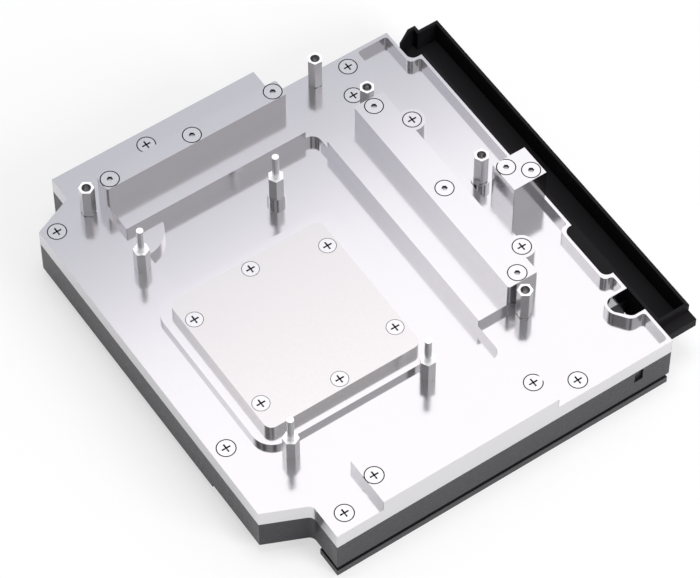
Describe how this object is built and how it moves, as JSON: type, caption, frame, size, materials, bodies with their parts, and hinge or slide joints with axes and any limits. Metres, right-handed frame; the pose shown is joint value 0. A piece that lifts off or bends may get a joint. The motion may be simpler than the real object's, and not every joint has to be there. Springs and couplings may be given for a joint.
{
  "type": "liquid cooling cold plate",
  "caption": "Plated metal plate on a black flow block that cools a processor and the power stages beside it; lies contact side up, with raised bars, hex posts, screws and an edge tray.",
  "frame": {"origin": "middle of the stud pattern, in the plane of the processor contact face", "axes": "+X along the short side of the stud pattern, towards the side bar and the edge tray; +Y towards the back bar; +Z out of the contact face"},
  "size_m": [0.1639, 0.1724, 0.045],
  "materials": {
    "nickel_plate": "satin nickel plating on milled metal",
    "screw_steel": "bright plated steel",
    "black_steel": "black oxide",
    "stainless": "plain sheet",
    "acetal": "milled, satin black",
    "acrylic": "clear, milled",
    "black_plastic": "satin black",
    "black_anodised": "black anodised",
    "seal_rubber": "matte"
  },
  "bodies": {
    "root": {"base_plate": "nickel_plate", "cpu_cold_plate": "nickel_plate", "cold_plate_seal": "seal_rubber", "jet_plate": "stainless", "jet_insert": "acrylic", "flow_body": "acetal", "main_gasket": "seal_rubber", "cover_spacer": "black_plastic", "cover_plate": "black_anodised", "io_shroud": "black_plastic", "socket_standoff_1": "nickel_plate", "socket_standoff_2": "nickel_plate", "socket_standoff_3": "nickel_plate", "socket_standoff_4": "nickel_plate", "board_standoff_1": "nickel_plate", "board_standoff_2": "nickel_plate", "board_standoff_3": "nickel_plate", "board_standoff_4": "nickel_plate", "board_standoff_5": "nickel_plate", "plate_screw_1": "screw_steel", "plate_screw_2": "screw_steel", "plate_screw_3": "screw_steel", "plate_screw_4": "screw_steel", "plate_screw_5": "screw_steel", "plate_screw_6": "screw_steel", "plate_screw_7": "screw_steel", "pad_screw_1": "screw_steel", "pad_screw_2": "screw_steel", "ear_screw_1": "screw_steel", "ear_screw_2": "screw_steel", "back_bar_screw_1": "screw_steel", "back_bar_screw_2": "screw_steel", "back_bar_screw_3": "screw_steel", "side_bar_screw_1": "screw_steel", "side_bar_screw_2": "screw_steel", "side_bar_screw_3": "screw_steel", "tower_screw_1": "screw_steel", "tower_screw_2": "screw_steel", "cold_plate_screw_1": "screw_steel", "cold_plate_screw_2": "screw_steel", "cold_plate_screw_3": "screw_steel", "cold_plate_screw_4": "screw_steel", "cold_plate_screw_5": "screw_steel", "cold_plate_screw_6": "screw_steel", "cover_screw_1": "black_steel", "cover_screw_2": "black_steel", "cover_screw_3": "black_steel", "cover_screw_4": "black_steel", "shroud_screw_1": "black_steel", "shroud_screw_2": "black_steel", "shroud_screw_3": "black_steel"}
  },
  "joints": []
}
